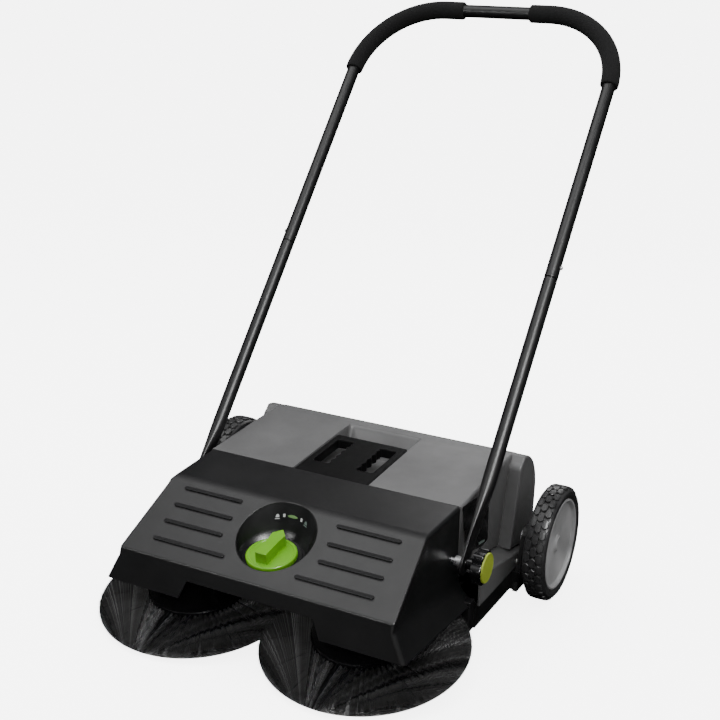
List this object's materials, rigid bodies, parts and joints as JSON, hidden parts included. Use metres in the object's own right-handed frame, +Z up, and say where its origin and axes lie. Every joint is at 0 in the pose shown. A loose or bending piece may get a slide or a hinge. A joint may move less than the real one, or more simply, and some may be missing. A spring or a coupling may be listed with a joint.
{
  "type": "walk-behind push sweeper",
  "caption": "Hand-pushed floor sweeper with two wheel-driven disc brushes, a slide-out dirt hopper, a brush height knob and a folding U-shaped handle.",
  "frame": {"origin": "below the middle of the bounding box, on the floor that the wheels stand on", "axes": "+X to the machine's side, +Y to the rear where the user walks, +Z up"},
  "size_m": [0.7154, 0.9861, 1.0283],
  "materials": {
    "black_housing": "satin moulded black plastic with a fine grain",
    "black_trim": "moulded black plastic",
    "grey_housing": "satin moulded mid grey plastic",
    "wheel_rim": "satin grey plastic",
    "tyre_rubber": "black rubber with block tread",
    "seal_rubber": "matte black rubber",
    "knob_green": "bright green semi-gloss plastic",
    "cap_green": "olive green plastic",
    "brush_hub": "glossy black plastic",
    "bristle": "black nylon bristles",
    "handle_tube": "dark grey powder-coated steel tube",
    "foam": "matte black foam rubber",
    "bright_steel": "zinc-plated steel",
    "gear_plastic": "natural acetal",
    "pulley_plastic": "black nylon"
  },
  "bodies": {
    "chassis": {"front_hood": "black_housing", "carry_handle": "black_housing", "chassis_frame": "black_housing", "side_skirt_left": "grey_housing", "side_skirt_right": "grey_housing", "dirt_lip": "seal_rubber", "axle_left": "bright_steel", "axle_right": "bright_steel", "drive_belt_left": "seal_rubber", "drive_belt_right": "seal_rubber", "spindle_bush_left": "gear_plastic", "spindle_bush_right": "gear_plastic", "pivot_bolt_left": "bright_steel", "pivot_bolt_right": "bright_steel", "arm_pin": "bright_steel"},
    "hopper": {"hopper": "grey_housing", "side_panel_left": "black_trim", "side_panel_right": "black_trim"},
    "handle": {"lower_tube_left": "handle_tube", "lower_tube_right": "handle_tube", "upper_bow": "handle_tube", "foam_grip_left": "foam", "foam_grip_right": "foam"},
    "height_knob": {"height_knob": "knob_green", "knob_shaft": "black_trim"},
    "roller_arm": {"roller_arm": "black_trim", "roller_pin": "bright_steel"},
    "roller": {"support_roller": "wheel_rim"},
    "snap_button_left": {"snap_button_left": "bright_steel"},
    "clamp_left": {"clamp_knob_left": "black_trim", "knob_cap_left": "cap_green"},
    "wheel_left": {"tyre_left": "tyre_rubber", "wheel_rim_left": "wheel_rim", "wheel_gear_left": "gear_plastic"},
    "pinion_left": {"pinion_shaft_left": "gear_plastic", "rear_pulley_left": "pulley_plastic"},
    "jackshaft_left": {"jackshaft_left": "bright_steel", "front_pulley_left": "pulley_plastic", "bevel_pinion_left": "gear_plastic"},
    "brush_left": {"crown_spindle_left": "gear_plastic", "brush_hub_left": "brush_hub", "bristle_ring_left": "bristle"},
    "snap_button_right": {"snap_button_right": "bright_steel"},
    "clamp_right": {"clamp_knob_right": "black_trim", "knob_cap_right": "cap_green"},
    "wheel_right": {"tyre_right": "tyre_rubber", "wheel_rim_right": "wheel_rim", "wheel_gear_right": "gear_plastic"},
    "pinion_right": {"pinion_shaft_right": "gear_plastic", "rear_pulley_right": "pulley_plastic"},
    "jackshaft_right": {"jackshaft_right": "bright_steel", "front_pulley_right": "pulley_plastic", "bevel_pinion_right": "gear_plastic"},
    "brush_right": {"crown_spindle_right": "gear_plastic", "brush_hub_right": "brush_hub", "bristle_ring_right": "bristle"}
  },
  "joints": [
    {"name": "hopper_slide", "type": "slide", "parent": "chassis", "child": "hopper", "axis": [0, 1, 0], "range_m": [0, 0.26]},
    {"name": "handle_fold", "type": "hinge", "parent": "chassis", "child": "handle", "pos_m": [0, -0.20153, 0.1506], "axis": [1, 0, 0], "range_deg": [-10, 124]},
    {"name": "height_knob_turn", "type": "hinge", "parent": "chassis", "child": "height_knob", "pos_m": [0, -0.36453, 0.158], "axis": [0, -0.1994, 0.9799], "range_deg": [-60, 60]},
    {"name": "roller_arm_tilt", "type": "hinge", "parent": "chassis", "child": "roller_arm", "pos_m": [0, -0.17353, 0.104], "axis": [1, 0, 0], "range_deg": [-3.9, 3.9]},
    {"name": "roller_spin", "type": "hinge", "parent": "roller_arm", "child": "roller", "pos_m": [0, -0.23153, 0.02], "axis": [1, 0, 0], "continuous": true},
    {"name": "snap_button_left_press", "type": "slide", "parent": "handle", "child": "snap_button_left", "axis": [1, 0, 0], "range_m": [0, 0.004], "stiffness_N_per_m": 400},
    {"name": "clamp_knob_left_turn", "type": "hinge", "parent": "chassis", "child": "clamp_left", "pos_m": [-0.29, -0.20153, 0.1506], "axis": [-1, 0, 0], "range_deg": [0, 180]},
    {"name": "wheel_left_spin", "type": "hinge", "parent": "chassis", "child": "wheel_left", "pos_m": [-0.335, 0.04747, 0.1045], "axis": [1, 0, 0], "continuous": true},
    {"name": "pinion_left_spin", "type": "hinge", "parent": "chassis", "child": "pinion_left", "pos_m": [-0.285, 0.02516, 0.062], "axis": [1, 0, 0], "continuous": true},
    {"name": "jackshaft_left_spin", "type": "hinge", "parent": "chassis", "child": "jackshaft_left", "pos_m": [-0.21, -0.35008, 0.12434], "axis": [1, 0, 0], "continuous": true},
    {"name": "brush_left_spin", "type": "hinge", "parent": "chassis", "child": "brush_left", "pos_m": [-0.16, -0.33553, 0.0335], "axis": [0, -0.1582, 0.9874], "continuous": true},
    {"name": "snap_button_right_press", "type": "slide", "parent": "handle", "child": "snap_button_right", "axis": [-1, 0, 0], "range_m": [0, 0.004], "stiffness_N_per_m": 400},
    {"name": "clamp_knob_right_turn", "type": "hinge", "parent": "chassis", "child": "clamp_right", "pos_m": [0.29, -0.20153, 0.1506], "axis": [1, 0, 0], "range_deg": [0, 180]},
    {"name": "wheel_right_spin", "type": "hinge", "parent": "chassis", "child": "wheel_right", "pos_m": [0.335, 0.04747, 0.1045], "axis": [1, 0, 0], "continuous": true},
    {"name": "pinion_right_spin", "type": "hinge", "parent": "chassis", "child": "pinion_right", "pos_m": [0.285, 0.02516, 0.062], "axis": [1, 0, 0], "continuous": true},
    {"name": "jackshaft_right_spin", "type": "hinge", "parent": "chassis", "child": "jackshaft_right", "pos_m": [0.21, -0.35008, 0.12434], "axis": [1, 0, 0], "continuous": true},
    {"name": "brush_right_spin", "type": "hinge", "parent": "chassis", "child": "brush_right", "pos_m": [0.16, -0.33553, 0.0335], "axis": [0, -0.1582, 0.9874], "continuous": true}
  ],
  "couplings": [
    {"joint": "roller_arm_tilt", "follows": "height_knob_turn", "ratio": 0.0645},
    {"joint": "pinion_left_spin", "follows": "wheel_left_spin", "ratio": -3},
    {"joint": "jackshaft_left_spin", "follows": "wheel_left_spin", "ratio": -3},
    {"joint": "brush_left_spin", "follows": "wheel_left_spin", "ratio": 1.5},
    {"joint": "pinion_right_spin", "follows": "wheel_right_spin", "ratio": -3},
    {"joint": "jackshaft_right_spin", "follows": "wheel_right_spin", "ratio": -3},
    {"joint": "brush_right_spin", "follows": "wheel_right_spin", "ratio": -1.5}
  ]
}
